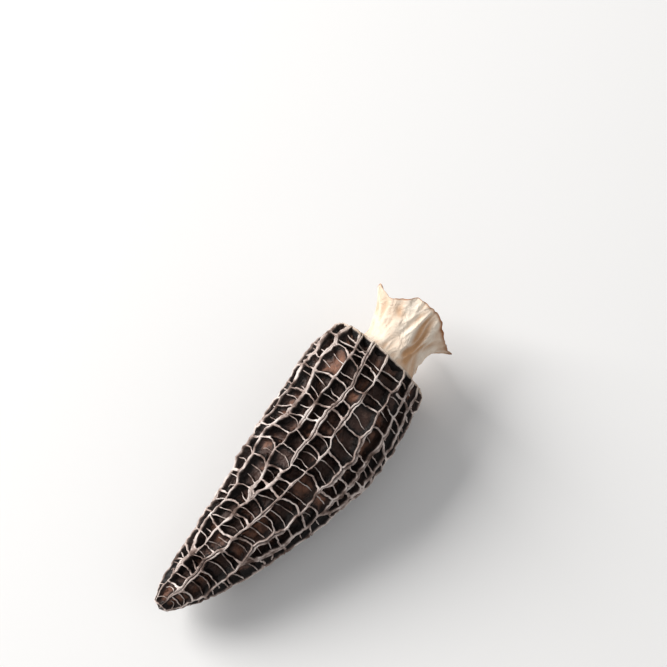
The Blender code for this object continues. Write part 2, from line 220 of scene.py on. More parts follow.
class Net:
    """Junctions (t, angle, height), the loops of junctions round the pits, and the ribs' chains."""

    def __init__(self, crest):
        self.crest = crest
        self.random = np.random.default_rng(SEED)
        self.place_ribs()
        self.t, self.angle, self.height, self.owner, self.fixed = [], [], [], [], []
        self.bars = [[] for _ in range(RIBS)]
        self.lay_junctions()
        self.pits, self.blind = [], []
        self.gather_pits()
        self.chains = [self.chain_of(k) for k in range(RIBS)]
        self.relax()

    def place_ribs(self):
        """Each column has its own share of the round and its own wave, and most close before the tip."""
        self.share = self.random.uniform(0.84, 1.18, RIBS)
        self.wave_length = self.random.uniform(13, 26, RIBS)
        self.wave_phase = self.random.uniform(0, 2 * math.pi, RIBS)
        self.close = np.full(RIBS, np.inf)
        t = self.crest.t
        behind_belly = t > t[np.argmax(self.crest.radius)]
        room = 2 * math.pi * self.crest.radius[behind_belly] / PIT_WIDTH
        for j in range(RIBS - LAST_RIBS):
            column = (j * CLOSING_ORDER_STEP) % RIBS
            at = np.interp(-(RIBS - 0.5 - j), -room, t[behind_belly])
            self.close[column] = min(at, self.crest.tip_ring - 0.8)

    def rib_angles(self, t):
        """Running sums of the columns' widths: share times a slow sine, narrowed where a column closes."""
        wave = 1 + 0.16 * np.sin(2 * math.pi * t / self.wave_length + self.wave_phase)
        gap = np.clip((self.close - t) / CLOSING_LENGTH, 0, 1)
        width = self.share * wave * gap**0.75
        width = 2 * math.pi * width / width.sum()
        edges = np.cumsum(width) - width
        drift = (edges - np.arange(RIBS) * 2 * math.pi / RIBS).mean()
        sway = 0.10 * math.sin(t / 14.0) + 0.0035 * t
        return edges - drift + sway, width

    def owner_of(self, rib, t):
        """The rib that carries this one at t, once the columns between them have closed."""
        while t >= self.close[(rib - 1) % RIBS]:
            rib = (rib - 1) % RIBS
        return rib

    def add(self, t, angle, height, owner, fixed=False):
        """A new junction, and its number."""
        self.t.append(t)
        self.angle.append(angle)
        self.height.append(height)
        self.owner.append(owner)
        self.fixed.append(fixed)
        return len(self.t) - 1

    def on_rib(self, rib, t):
        """A junction on the rib near t: one that is there already, or a new one."""
        owner = self.owner_of(rib % RIBS, t)
        for i, (at, other) in enumerate(zip(self.t, self.owner)):
            if other == owner and abs(at - t) < SNAP:
                return i
        return self.add(t, self.rib_angles(t)[0][owner], self.random.uniform(-0.3, 0.1), owner)

    def add_bar(self, column, t, slant, arch, sag):
        """A cross bar with an arched, lower middle. It is left out where it would start at the last one."""
        left = self.on_rib(column, t - slant / 2)
        right = self.on_rib(column + 1, t + slant / 2)
        last = self.bars[column][-1]
        if left in last or right in last or left == right:
            return
        turn = (self.angle[right] - self.angle[left]) % (2 * math.pi)
        middle = self.add((self.t[left] + self.t[right]) / 2 - arch, self.angle[left] + turn / 2, -sag, None)
        self.bars[column].append((left, middle, right))

    def lay_junctions(self):
        """The shoulder's ring, the tip's ring, the places where columns close, and the bars."""
        first, width = self.rib_angles(0.0)
        ring = [self.add(0.0, first[k], 0.0, k, True) for k in range(RIBS)]
        for k in range(RIBS):
            middle = self.add(0.0, first[k] + width[k] / 2, 0.0, None, True)
            self.bars[k].append((ring[k], middle, ring[(k + 1) % RIBS]))
        at_edge = self.rib_angles(SHOULDER_EDGE)[0]
        for k in range(RIBS):
            self.add(SHOULDER_EDGE, at_edge[k], 0.0, k, True)
            if np.isfinite(self.close[k]):
                self.on_rib(k, self.close[k])
        end = self.crest.tip_ring
        self.tip = [self.add(end, self.rib_angles(end)[0][k], -0.1, k, True) for k in self.open_columns()]
        for k in range(RIBS):
            self.lay_bars(k)

    def open_columns(self):
        """The columns that reach the tip's ring."""
        return [k for k in range(RIBS) if not np.isfinite(self.close[k])]

    def lay_bars(self, k):
        """Bars down one column, each about a pit's width from the last."""
        draw = self.random.uniform
        end = min(self.close[k] - BLIND_END, self.crest.tip_ring)
        t = SHOULDER_EDGE + draw(1.6, 4.4)
        while t < end - SHORTEST_PIT:
            width = self.rib_angles(t)[1][k] * self.crest.radius_at(t)
            self.add_bar(k, t, draw(-0.3, 0.3) * width, draw(-0.12, 0.28) * width, draw(0.35, 1.0))
            t += np.clip(width * draw(*BAR_SPACING), SHORTEST_PIT, LONGEST_PIT)
        if np.isfinite(self.close[k]):
            self.add_bar(k, end, 0.0, 0.0, 0.2)

    def between(self, rib, low, high):
        """Junctions on the rib with low < t < high, from the shoulder towards the tip."""
        found = [
            i
            for i, (t, owner) in enumerate(zip(self.t, self.owner))
            if owner is not None and low < t < high and self.owner_of(rib % RIBS, t) == owner
        ]
        return sorted(found, key=lambda i: self.t[i])

    def chain_of(self, rib):
        """All junctions of a rib, of the rib that it joins further on, and the last on the tip's ring."""
        last = rib
        while last not in self.open_columns():
            last = (last + 1) % RIBS
        end = self.tip[self.open_columns().index(last)]
        return [*self.between(rib, -1.0, self.crest.tip_ring - 0.01), end]

    def gather_pits(self):
        """Each pit as the loop of junctions round it, and the solid corners where a column closes."""
        for k in range(RIBS):
            bars = self.bars[k]
            for (a, m, b), (c, n, d) in zip(bars, bars[1:]):
                left = self.between(k, self.t[a], self.t[c])
                right = self.between(k + 1, self.t[b], self.t[d])
                self.pits.append([a, m, b, *right, d, n, c, *left[::-1]])
            a, m, b = bars[-1]
            if np.isfinite(self.close[k]):
                end = self.on_rib(k, self.close[k])
                left = self.between(k, self.t[a], self.t[end])
                right = self.between(k + 1, self.t[b], self.t[end])
                self.blind.append([a, m, b, *right, end, *left[::-1]])
                continue
            j = self.open_columns().index(k)
            c, d = self.tip[j], self.tip[(j + 1) % LAST_RIBS]
            left = self.between(k, self.t[a], self.t[c])
            right = self.between(k + 1, self.t[b], self.t[d])
            self.pits.append([a, m, b, *right, d, c, *left[::-1]])

    def relax(self):
        """Each free junction moves a share of the way to the middle of its neighbours."""
        pairs = set()
        for loop in [*self.pits, *self.blind, self.tip]:
            pairs |= {tuple(sorted(pair)) for pair in zip(loop, loop[1:] + loop[:1])}
        i, j = np.array(sorted(pairs)).T
        t, angle = np.array(self.t), np.array(self.angle)
        free = ~np.array(self.fixed)
        count = np.bincount(i, minlength=len(t)) + np.bincount(j, minlength=len(t))
        for _ in range(RELAX_ROUNDS):
            step = t[j] - t[i]
            turn = turn_between(angle[i], angle[j])
            for value, gap in ((t, step), (angle, turn)):
                pull = np.bincount(i, gap, len(t)) - np.bincount(j, gap, len(t))
                value[free] += RELAX_SHARE * (pull / count)[free]
        self.t, self.angle, self.height = t, angle, np.array(self.height)


net = Net(crest)
print(len(net.pits), "pits and", len(net.blind), "solid corners between", RIBS, "ribs")

# %% [markdown]
# ## A shared roughness
#
# Nothing grown is exact. One function gives every crest, wall and wrinkle its small wander: a sum of
# sine waves that run in seeded directions through space, so two surfaces that meet in a point move
# alike there and no seam opens.

# %% The wander
def wander(points, size, seed, waves=10):
    """A sum of sines over points in mm, about -1 to 1: its waves are around the given size long."""
    random = np.random.default_rng(seed)
    away = random.normal(size=(waves, 3))
    away /= np.linalg.norm(away, axis=1)[:, None]
    pitch = 2 * math.pi / (size * random.uniform(0.6, 1.7, waves))
    phase = random.uniform(0, 2 * math.pi, waves)
    return np.sin(points @ away.T * pitch + phase).sum(axis=-1) / math.sqrt(waves)


def place_on_solid(points):
    """Points of the body in mm, moved to where the solid stands, and pressed flat on the floor."""
    moved = points + solid_shift
    moved[..., 2] = np.maximum(moved[..., 2], 0.0)
    return moved


# %% [markdown]
# ## The stem's form
#
# The stem is a thin tube of dried skin. It leaves the cap wide, draws in to a waist and flares to a
# torn rim with a horn on one side and a spike on the other. The rim is a short table of length,
# radius and lateness, which says how near the rim the flare starts.

# %% The stem as a function of angle and share
STEM_RIM = [
    (-10, 10.3, 9.8, 1.7), (4, 10.8, 10.8, 1.6), (18, 11.4, 11.0, 1.6), (32, 10.7, 10.6, 1.65),
    (45, 9.8, 9.2, 1.8), (67, 11.5, 8.6, 2.0), (80, 12.9, 8.5, 2.2), (103, 13.3, 8.5, 2.4),
    (125, 12.8, 8.2, 2.8), (142, 12.0, 7.8, 3.4), (160, 11.1, 7.7, 4.5), (178, 10.2, 8.4, 6.0),
    (192, 10.2, 9.3, 7.0), (207, 9.4, 7.5, 5.0), (232, 9.8, 7.0, 3.4), (262, 11.3, 7.8, 2.6),
    (290, 11.1, 8.4, 2.2), (322, 10.3, 8.9, 2.0),
]
STEM_START, STEM_ROOT = CAP_PROFILE[0][0] * CAP_LENGTH, CAP_PROFILE[0][1] * CAP_WIDTH / 2


def stem_rim(angle):
    """The rim's length, radius and lateness at each angle, eased between the rows of STEM_RIM."""
    rows = np.array(STEM_RIM)
    at = np.radians(np.append(rows[:, 0], rows[0, 0] + 360))
    rows = np.vstack([rows, rows[0]])
    turned = at[0] + (angle - at[0]) % (2 * math.pi)
    i = np.clip(np.searchsorted(at, turned, side="right") - 1, 0, len(at) - 2)
    u = (turned - at[i]) / (at[i + 1] - at[i])
    u = (u * u * (3 - 2 * u))[:, None]
    return ((1 - u) * rows[i, 1:] + u * rows[i + 1, 1:]).T


def stem_radius(angle, share):
    """Waist, plus a quick shrink from the root, plus a flare that grows as share to the lateness."""
    length, mouth, lateness = stem_rim(angle)
    side = np.cos(angle - math.radians(15))
    waist = STEM_WAIST / 2 - 0.25 * side
    shrink = (STEM_ROOT - waist) * (1 - share) ** (6 + 3 * side)
    radius = waist + shrink + (mouth - waist) * share**lateness
    wrinkle = np.sin(6 * angle + 2.5 * share) + 0.7 * np.sin(11 * angle - 3 * share + 1)
    return radius + 0.2 * math.sin(math.pi * min(1.0, share + 0.12)) * wrinkle


round_angles = np.linspace(0, 2 * math.pi, 240, endpoint=False)
rim_axial = STEM_START - stem_rim(round_angles)[0]
rim_reach = body_point(rim_axial, stem_radius(round_angles, 1.0), round_angles)
crest_points = crest.point(net.t, net.angle, net.height)
tip_point = crest.point(crest.t[-1], 0.0, 0.0)
reach = np.vstack([rim_reach, crest_points, tip_point])
solid_shift = (low + high) / 2 - (reach.min(axis=0) + reach.max(axis=0)) / 2
solid_shift[2] = 0.0
print("the body is moved by", solid_shift.round(2), "mm to lie on the solid")

# %% [markdown]
# ## Fine ribs and bars
#
# A rib between two junctions is a smooth curve whose slope at each junction comes from the junctions
# before and after it on the same rib. A bar is an arch through its three junctions. Both are sampled
# into a few points that carry their own width, so the two pits on either side of a crest share
# them and the skin stays closed.

# %% Sample every edge of the net
EDGE_STEPS = 6
RIB_HALF_WIDTH, BAR_HALF_WIDTH, TIP_HALF_WIDTH = 0.14, 0.12, 0.15
FURROW_HALF_WIDTH, FURROW_DEPTH = 0.42, 0.6


def rib_curves(net):
    """{(i, j): samples} for neighbours on a rib. Angle is a cubic in t with the chain's own slopes."""
    curves = {}
    s = np.linspace(0, 1, EDGE_STEPS + 1)
    for chain in net.chains:
        t = net.t[chain]
        turns = turn_between(net.angle[chain[:-1]], net.angle[chain[1:]])
        angle = net.angle[chain[0]] + np.append(0, np.cumsum(turns))
        slope = np.gradient(angle, t)
        for n, (i, j) in enumerate(zip(chain, chain[1:])):
            if (i, j) in curves:
                continue
            span = t[n + 1] - t[n]
            turned = cubic(s, span, angle[n], angle[n + 1], slope[n], slope[n + 1])
            height = net.height[i] + (net.height[j] - net.height[i]) * s
            width = RIB_HALF_WIDTH * (1 + 0.5 * (2 * s - 1) ** 4)
            curves[i, j] = side_by_side(t[n] + span * s, turned, height, width, 1.0)
    return curves


def arch_through(first, middle, last, u):
    """The parabola that passes the three values at u = 0, a half and 1."""
    return first * (1 - u) * (1 - 2 * u) + 4 * middle * u * (1 - u) + last * u * (2 * u - 1)


def bar_curves(net):
    """{(i, j): samples} for the two halves of each bar, which is thin in the middle."""
    curves = {}
    for a, m, b in (bar for column in net.bars for bar in column):
        first = net.angle[a]
        middle = first + turn_between(first, net.angle[m])
        last = middle + turn_between(net.angle[m], net.angle[b])
        for i, j, start in ((a, m, 0.0), (m, b, 0.5)):
            u = start + np.linspace(0, 0.5, EDGE_STEPS + 1)
            ends = (2 * u - 1) ** 2
            curves[i, j] = side_by_side(
                arch_through(net.t[a], net.t[m], net.t[b], u),
                arch_through(first, middle, last, u),
                arch_through(net.height[a], net.height[m], net.height[b], u),
                BAR_HALF_WIDTH + (1.5 * RIB_HALF_WIDTH - BAR_HALF_WIDTH) * ends**2,
                0.0,
            )
    return curves


def tip_curves(net):
    """{(i, j): samples} along the ring at the tip."""
    curves = {}
    s = np.linspace(0, 1, EDGE_STEPS + 1)
    for i, j in zip(net.tip, net.tip[1:] + net.tip[:1]):
        angle = net.angle[i] + turn_between(net.angle[i], net.angle[j]) * s
        curves[i, j] = side_by_side(net.t[i], angle, net.height[i], TIP_HALF_WIDTH, 0.0)
    return curves


def roughened(samples):
    """Samples with a small wander sideways, in height and in width, and ribs split by a furrow in places."""
    here = crest.point(samples[:, 0], samples[:, 1], 0.0)
    radius = np.maximum(crest.radius_at(samples[:, 0]), 1.0)
    calm = np.clip(samples[:, 0] / 2.0, 0, 1)
    samples[:, 0] += calm * 0.10 * wander(here, 1.3, 1) * (samples[:, 0] < crest.tip_ring - 0.2)
    sideways = 0.12 * wander(here, 1.6, 2) + 0.08 * wander(here, 4.0, 3) + 0.04 * wander(here, 0.8, 15)
    samples[:, 1] += calm * sideways / radius
    samples[:, 2] += calm * (0.10 * wander(here, 1.0, 4) + 0.11 * wander(here, 3.2, 5))
    samples[:, 2] -= 0.3 * np.clip(1 - samples[:, 0] / 2.6, 0, 1)
    samples[:, 3] *= np.clip(1 + 0.38 * wander(here, 2.2, 6) + 0.35 * wander(here, 6.5, 16), 0.55, 2.5)
    fades = calm * np.clip((crest.tip_ring - samples[:, 0]) / 8, 0, 1)
    split = np.clip(0.3 + 1.6 * wander(here * (0.5, 1, 1), 6.0, 14), 0, 1) * samples[:, 4] * fades
    samples[:, 3] += split * (FURROW_HALF_WIDTH - RIB_HALF_WIDTH)
    samples[:, 4] = split
    return samples


edges = {**tip_curves(net), **bar_curves(net), **rib_curves(net)}
edges = {pair: roughened(samples) for pair, samples in edges.items()}
print(len(edges), "edges of", EDGE_STEPS, "steps each")

# %% Number the crest points
INNER_STEPS = EDGE_STEPS - 1
first_inner = {pair: len(net.t) + n * INNER_STEPS for n, pair in enumerate(edges)}
crest_rows = np.zeros((len(net.t), 5))
for (i, j), samples in edges.items():
    crest_rows[[i, j]] = samples[[0, -1]]
crest_rows = np.vstack([crest_rows, *(samples[1:-1] for samples in edges.values())])


def numbers_round(loop):
    """The numbers of the crest points all round a loop of junctions."""
    parts = []
    for i, j in zip(loop, loop[1:] + loop[:1]):
        forward = (i, j) in first_inner
        inner = first_inner[(i, j) if forward else (j, i)] + np.arange(INNER_STEPS)
        parts.append(np.append(i, inner if forward else inner[::-1]))
    return np.concatenate(parts)


def flat_outline(numbers):
    """Crest points rolled out flat in mm, x across and t along the cap, and the radius used for x."""
    t, angle = crest_rows[numbers, 0], crest_rows[numbers, 1]
    radius = float(crest.radius_at(t.mean()))
    angle = angle[0] + turn_between(angle[0], angle)
    return side_by_side(angle * radius, t), radius


print(len(crest_rows), "crest points are shared by the pits")

# %% [markdown]
# ## The cap's skin
#
# Each pit is a surface of two parameters: round its loop of crests, and from the crest down to the
# middle of its floor. Rings at a few insets and depths make the rounded crest, the slightly undercut
# wall, the foot and the dished floor. An attribute on the skin says how near the crest a point
# is, and the colours follow it later.

# %% Rings of a pit
# inset past the crest's edge in mm, share of the pit's depth, how much of the crest's colour is left
PIT_RINGS = [
    (-0.4, -0.035, 1.0), (0.0, 0.02, 0.9), (0.03, 0.10, 0.4), (0.05, 0.28, 0.12), (0.16, 0.52, 0.03),
    (0.36, 0.74, 0.0), (0.66, 0.90, 0.0),
]
FLOOR_RINGS = [(0.35, 1.02), (0.7, 1.12)]
CENTRE_SINK = 1.15
THIN_PITS, THIN_DEPTH, THIN_COVER = 0.12, 0.6, 0.14
CORNER_DEPTH, CORNER_COVER = 0.16, 0.7
SHOULDER_RIM = 2.9
# depth also sets painted shade: the pits' ramps make the upper walls nearly black and the floor middles
# lighter
ATTRIBUTES = ("crest", "depth", "warmth", "film")


def inset_shares(flat, inset):
    """How far each point goes towards the middle of its loop, so that it moves in by the inset."""
    middle = flat.mean(axis=0)
    side = np.roll(flat, -1, axis=0) - np.roll(flat, 1, axis=0)
    normal = np.stack([-side[:, 1], side[:, 0]], axis=1)
    reach = np.abs(((middle - flat) * normal).sum(axis=1)) / np.maximum(np.linalg.norm(side, axis=1), 1e-6)
    reach = (reach + np.roll(reach, 1) + np.roll(reach, -1)) / 3
    return np.clip(inset / np.maximum(reach, 0.45), 0, 0.82)[:, None]


def film_at(t):
    """1 on the shoulder next to the stem, where pale stem skin runs out over the ribs, 0 past it."""
    return np.clip(1 - (t - 1.5) / 4.5, 0, 1) ** 1.5


def sunk_at(t):
    """The share of its depth that a pit has at t. The skin between the ribs rises to meet the stem."""
    return np.clip((t - 0.6) / 3.6, 0.08, 1)


# %% A skin of quads and triangles
def quads_between(outer, inner):
    """Quads between closed rings of the same count: each point with its next, on both rings."""
    quads = side_by_side(outer, np.roll(outer, -1, axis=-1), np.roll(inner, -1, axis=-1), inner)
    return quads.reshape(-1, 4)


def open_edges(*kinds):
    """How many edges of the faces, given as arrays of one kind each, aren't shared by just two."""
    pairs = [side_by_side(faces, np.roll(faces, -1, axis=1)).reshape(-1, 2) for faces in kinds]
    counts = np.unique(np.sort(np.vstack(pairs), axis=1), axis=0, return_counts=True)[1]
    return int((counts != 2).sum())


class Skin:
    """Points, faces and attributes, gathered ring by ring."""

    def __init__(self):
        self.points, self.values, self.count = [], [], 0
        self.quads, self.triangles = [], [np.empty((0, 3), int)]

    def new(self, points, crest_tint, depth, warmth, film):
        """A block of points with their attributes, and its numbers."""
        self.points.append(points)
        self.values.append(side_by_side(crest_tint, depth, warmth, film, points[:, 0])[:, :4])
        self.count += len(points)
        return np.arange(self.count - len(points), self.count)

    def grow(self, ring, points, *values):
        """A new ring of points with their attributes, joined by quads to the ring before it."""
        inner = self.new(points, *values)
        self.quads.append(quads_between(ring, inner))
        return inner

    def close(self, ring, point, *values):
        """Triangles from the ring to one new point."""
        self.triangles.append(side_by_side(ring, np.roll(ring, -1), self.new(point, *values)))

    def piece(self, name):
        """The finished mesh object, with outward faces, smooth shading and its attributes."""
        points = place_on_solid(np.vstack(self.points)) * MM
        quads, triangles = np.vstack(self.quads), np.vstack(self.triangles)
        mesh = bpy.data.meshes.new(name)
        mesh.from_pydata(points.tolist(), [], [*quads.tolist(), *triangles.tolist()])
        work = bmesh.new()
        work.from_mesh(mesh)
        bmesh.ops.recalc_face_normals(work, faces=work.faces)
        work.to_mesh(mesh)
        work.free()
        mesh.shade_smooth()
        values = np.vstack(self.values)
        for column, attribute in enumerate(ATTRIBUTES):
            layer = mesh.attributes.new(attribute, "FLOAT", "POINT")
            layer.data.foreach_set("value", np.ascontiguousarray(values[:, column], dtype=np.float32))
        made = bpy.data.objects.new(name, mesh)
        bpy.context.scene.collection.objects.link(made)
        faces = 2 * len(quads) + len(triangles)
        print(name, "has", faces, "triangles and", open_edges(quads, triangles), "open edges")
        return made


# %% Lay the pits
def lay_crests(skin):
    """The crest points, the first of the skin: a split rib is sunk along its middle and dark there."""
    t, angle, height, _, split = crest_rows.T
    points = crest.point(t, angle, height - FURROW_DEPTH * split)
    return skin.new(points, 1 - 0.9 * split, 0.0, 0.5, film_at(t))


def lay_pit(skin, loop, deep, warmth, cover):
    """One pit. deep is 1, or a little for a solid corner. cover is how far pale skin lies over it."""
    ring = numbers_round(loop)
    flat, radius = flat_outline(ring)
    height, half = crest_rows[ring, 2], crest_rows[ring, 3]
    depth = deep * min(PIT_DEPTH, 0.4 * (0.4 * crest.radius_at(flat[:, 1]).min() + 0.6 * radius))
    half = half * np.sqrt(np.clip(radius / 7.0, 0.3, 1.0))
    middle = flat.mean(axis=0)

    def on_cap(at, level):
        """Flat places rolled back on to the cap, at a level above the crests."""
        return crest.point(at[:, 1], at[:, 0] / radius, level)

    for past, share, pale in PIT_RINGS:
        at = flat + inset_shares(flat, half * (1 + past) if past < 0 else half + past) * (middle - flat)
        level = height * (1 - share) - share * depth * sunk_at(at[:, 1])
        level = level + 0.12 * wander(on_cap(at, level), 1.5, 7) * min(1.0, depth) * (share > 0.05)
        tint, sunk = max(pale, cover), max(share, 0.0)
        ring = skin.grow(ring, on_cap(at, level), tint, sunk, warmth, film_at(at[:, 1]))
    last = at
    for share, sink in FLOOR_RINGS:
        at = last + share * (middle - last)
        level = -sink * depth * sunk_at(at[:, 1])
        level = level + 0.17 * wander(on_cap(at, level), 1.8, 8) * min(1.0, depth)
        ring = skin.grow(ring, on_cap(at, level), cover, 1.0, warmth, 0.0)
    centre = on_cap(middle[None], -CENTRE_SINK * depth * sunk_at(middle[1]))
    skin.close(ring, centre, cover, 1.0, warmth, 0.0)


# %% Lay the hollow and the tip
HOLLOW_SHARES = (0.004, 0.01, 0.045, 0.1, 0.2, 0.33, 0.47, 0.61, 0.74, 0.85, 0.89)
# the hollow's depth of 0.6 gives it the near-black painted shade of the pits' ramps
HOLLOW_END, HOLLOW_LOOK = 0.91, (0.3, 0.6, 0.6)
TIP_SHARES = (0.25, 0.5, 0.75, 0.92)


def hollow_ring(angle, axial):
    """A ring of the hollow: a flesh's thickness inside the pits' floors, with a slow wander."""
    belly = np.interp(axial, crest.axial[crest.axial > 0], crest.radius[crest.axial > 0])
    radius = min(belly - PIT_DEPTH - CAP_FLESH, STEM_WAIST / 2 - STEM_WALL + 0.8 * axial)
    folds = 0.25 * wander(body_point(axial, radius, angle), 5.0, 9)
    return body_point(axial, radius + folds * min(1, axial / 6), angle)


def lay_hollow(skin):
    """From the shoulder's ring in over the neck and down to the hollow's end."""
    ring = numbers_round([junction for column in net.bars for junction in column[0][:2]])
    angle = crest_rows[ring, 1]
    for share in HOLLOW_SHARES:
        film = float(share < 0.05)
        ring = skin.grow(ring, hollow_ring(angle, share * CAP_LENGTH), *HOLLOW_LOOK, film)
    skin.close(ring, body_point(HOLLOW_END * CAP_LENGTH, 0.0, 0.0)[None], *HOLLOW_LOOK, 0.0)


def lay_tip(skin):
    """The closed tip: rings that shrink to the outline's end, hollowed between the last ribs."""
    ring = numbers_round(net.tip)
    angle, t = crest_rows[ring, 1], crest.tip_ring
    between = np.tile(np.sin(np.linspace(0, math.pi, EDGE_STEPS, endpoint=False)), len(net.tip))
    for share in TIP_SHARES:
        at = t + share * (crest.t[-1] - t)
        rough = wander(crest.point(at, angle, -0.1), 0.9, 10)
        height = -0.1 - (1 - share) * (0.45 * between + 0.12 * rough)
        tint = 0.1 + np.clip(0.8 - 1.6 * between, 0, 0.8) * (1 - 0.5 * share)
        # a depth up to 0.3 between the last ribs gives them the pits' darkest painted shade
        ring = skin.grow(ring, crest.point(at, angle, height), tint, 0.3 * between, 0.4, 0.0)
    skin.close(ring, tip_point[None], 0.3, 0.1, 0.4, 0.0)


def build_cap():
    """The whole cap: its pits, solid corners, tip and hollow as one closed skin."""
    skin = Skin()
    lay_crests(skin)
    draw = np.random.default_rng(SEED + 1).uniform
    for loop in net.pits:
        thin = draw() < THIN_PITS
        lay_pit(skin, loop, draw(0.9, 1.05) * (THIN_DEPTH if thin else 1), draw(0, 1), THIN_COVER * thin)
    for loop in net.blind:
        lay_pit(skin, loop, CORNER_DEPTH, draw(0, 1), CORNER_COVER)
    lay_tip(skin)
    lay_hollow(skin)
    return skin.piece("cap")


cap = build_cap()

# %% [markdown]
# ## Veins in the pits
#
# Inside the pits the real cap has thinner, lower walls that cross from rib to rib in arcs. Each stands
# high on one rib and often sinks before it meets the other. A vein is a narrow blade carried along an
# arch, so it is a profile along a path. Its ends are sunk into the walls, and its foot into the floor. One
# more blade in each column, level with the ribs, makes the rim where the net ends at the stem.

# %% Blades across the pits
VEIN_STEPS, LEAST_CAP_RADIUS = 8, 2.0
VEIN_PROFILE = [
    (-0.28, -1.0), (-0.14, -0.20), (-0.10, -0.05), (0.0, 0.0), (0.10, -0.05), (0.14, -0.20), (0.28, -1.0),
]
VEIN_TINT = [0.0, 0.12, 0.85, 1.0, 0.85, 0.12, 0.0]
RIM_TINT = [0.0, 0.15, 0.8, 1.0, 0.8, 0.15, 0.0]
VEIN_SEAT, RIM_SEAT = 0.10, -0.02


def span_at(flat, t):
    """Where the line of constant t cuts the loop: the lowest and the highest place across it."""
    after = np.roll(flat, -1, axis=0)
    cut = (flat[:, 1] - t) * (after[:, 1] - t) < 0
    share = (t - flat[cut, 1]) / (after[cut, 1] - flat[cut, 1])
    across = flat[cut, 0] + share * (after[cut, 0] - flat[cut, 0])
    return across.min(), across.max()


def vein_paths():
    """Rows of two ends, radius, arch, seat, drop, fall and depth for every vein, drawn from a seed."""
    draw = np.random.default_rng(SEED + 2).uniform
    paths = []
    for loop in net.pits:
        flat, radius = flat_outline(numbers_round(loop))
        if radius < LEAST_CAP_RADIUS:
            continue
        depth = min(PIT_DEPTH, 0.4 * radius)
        first, last = flat[:, 1].min(), flat[:, 1].max()
        if first < 0.5:
            left, right = span_at(flat, SHOULDER_RIM)
            paths.append((left, SHOULDER_RIM, right, SHOULDER_RIM, radius, 0.0, RIM_SEAT, 0.0, 0.0, depth))
            first = SHOULDER_RIM + 0.6
        gap = 0.9 + 0.9 * min(1.0, radius / 10) + draw(0, 0.9)
        wanted = int(np.clip((last - first) / gap - draw(0.4, 1.2), 0, 3))
        for n in range(wanted):
            at = first + (last - first) * (n + 1 + draw(-0.25, 0.25)) / (wanted + 1)
            left, right = span_at(flat, at)
            lean, arch = draw(-0.6, 0.6), draw(-0.15, 0.75)
            ends = [right - 0.1, at + lean, left + 0.1, at - lean]
            if draw() < 0.3:
                ends = ends[2:] + ends[:2]
                arch = -arch
            fall = draw(0.15, 0.6) * (draw() < 0.6)
            paths.append((*ends, radius, -arch, VEIN_SEAT, draw(0.16, 0.5), fall, depth))
    return np.array(paths)


def build_veins():
    """All the blades at once: points along a straight line pushed out by an arch, a profile across it."""
    x0, t0, x1, t1, radius, arch, seat, drop, fall, depth = (column[:, None] for column in vein_paths().T)
    u = np.linspace(0, 1, VEIN_STEPS)[None]
    bulge = 4 * u * (1 - u)
    length = np.hypot(x1 - x0, t1 - t0)
    normal_x, normal_t = (t1 - t0) / length, (x0 - x1) / length
    top = -depth * (seat + drop * bulge**0.7 + fall * u**2)
    here = crest.point(t0 + (t1 - t0) * u, (x0 + (x1 - x0) * u) / radius, top)
    top = top + 0.10 * wander(here, 1.4, 11)
    out = arch * bulge + 0.11 * wander(here, 2.0, 12)
    profile = np.array(VEIN_PROFILE)
    out = out[..., None] + profile[:, 0] * (0.85 + 0.25 * wander(here, 2.0, 13)[..., None])
    level = top[..., None] + profile[:, 1] * (1.35 * depth + top)[..., None]
    along = (t0 + (t1 - t0) * u)[..., None] + normal_t[..., None] * out
    across = (x0 + (x1 - x0) * u)[..., None] + normal_x[..., None] * out
    points = crest.point(along, across / radius[..., None], level)
    blades, steps, corners = points.shape[:3]
    number = np.arange(blades * steps * corners).reshape(blades, steps, corners)
    tint = np.where(seat[..., None] < 0, RIM_TINT, VEIN_TINT) * np.clip(1 - fall * u**2, 0, 1)[..., None]
    # how far down the pit a point is, which gives the blades' sides the pits' painted shade
    sunk = np.clip(-level / depth[..., None], 0, 1)
    skin = Skin()
    skin.new(points.reshape(-1, 3), tint.ravel(), sunk.ravel(), 0.4, film_at(along).ravel())
    skin.quads.append(quads_between(number[:, :-1], number[:, 1:]))
    for end in (number[:, 0], number[:, -1]):
        skin.quads += [end[:, [0, 1, 5, 6]], end[:, [1, 2, 4, 5]]]
        skin.triangles.append(end[:, [2, 3, 4]])
    return skin.piece("pit_veins")


veins = build_veins()

# %% [markdown]
# ## The stem
#
# Its skin has dried into lengthwise wrinkles that break and branch, so a slow wander stretched along
# the stem is laid over the solid's form. The rim is thin and ragged. Outer skin, lip and inner
# skin are one grid of angle by share, closed on itself inside the cap.

# %% Skin of the stem
STEM_ANGLES = 300
SPIKE_TOWARDS, CREASED_TOWARDS, SHADE_AND_TAN_TOWARDS = np.radians([145, 150, 185])
ROOT_SUNK, ROOT_DRAWN_IN = 0.9, 0.5
OUTER_SHARES = np.concatenate([
    np.linspace(0, 0.3, 16)[:-1], np.linspace(0.3, 0.93, 30)[:-1], np.linspace(0.93, 1, 8),
])
LIP_SHARES = [(0.9985, 0.30), (0.990, 0.55), (0.975, 0.75), (0.95, 0.9)]
INNER_SHARES = np.linspace(0.9, 0.02, 26)


def round_tube(angle, radius, along):
    """Points round a plain tube, at which the wander of the stem's skin is read."""
    return side_by_side(radius * np.cos(angle), radius * np.sin(angle), along)


def stem_wrinkles(angle, share):
    """Crumpled skin in mm: ridges where a wander crosses zero, stretched along the stem, over broad folds."""
    place = round_tube(angle, 7, 6.5 * share)
    twisted = place + 0.8 * wander(place, 6.0, 20)[:, None]
    broad = wander(place, 8.0, 22)
    ridges = 0.6 - np.abs(wander(twisted, 5.6, 23))
    crumple = 0.5 - np.abs(wander(twisted * (1, 1, 1.3), 2.8, 21))
    strength = np.clip(share * 6, 0, 1) * (0.35 + 0.65 * np.clip((1 - share) * 6, 0, 1))
    strength = strength * (0.7 + 0.3 * np.cos(angle - CREASED_TOWARDS))
    return strength * (0.12 * broad + 0.32 * ridges + 0.24 * crumple)


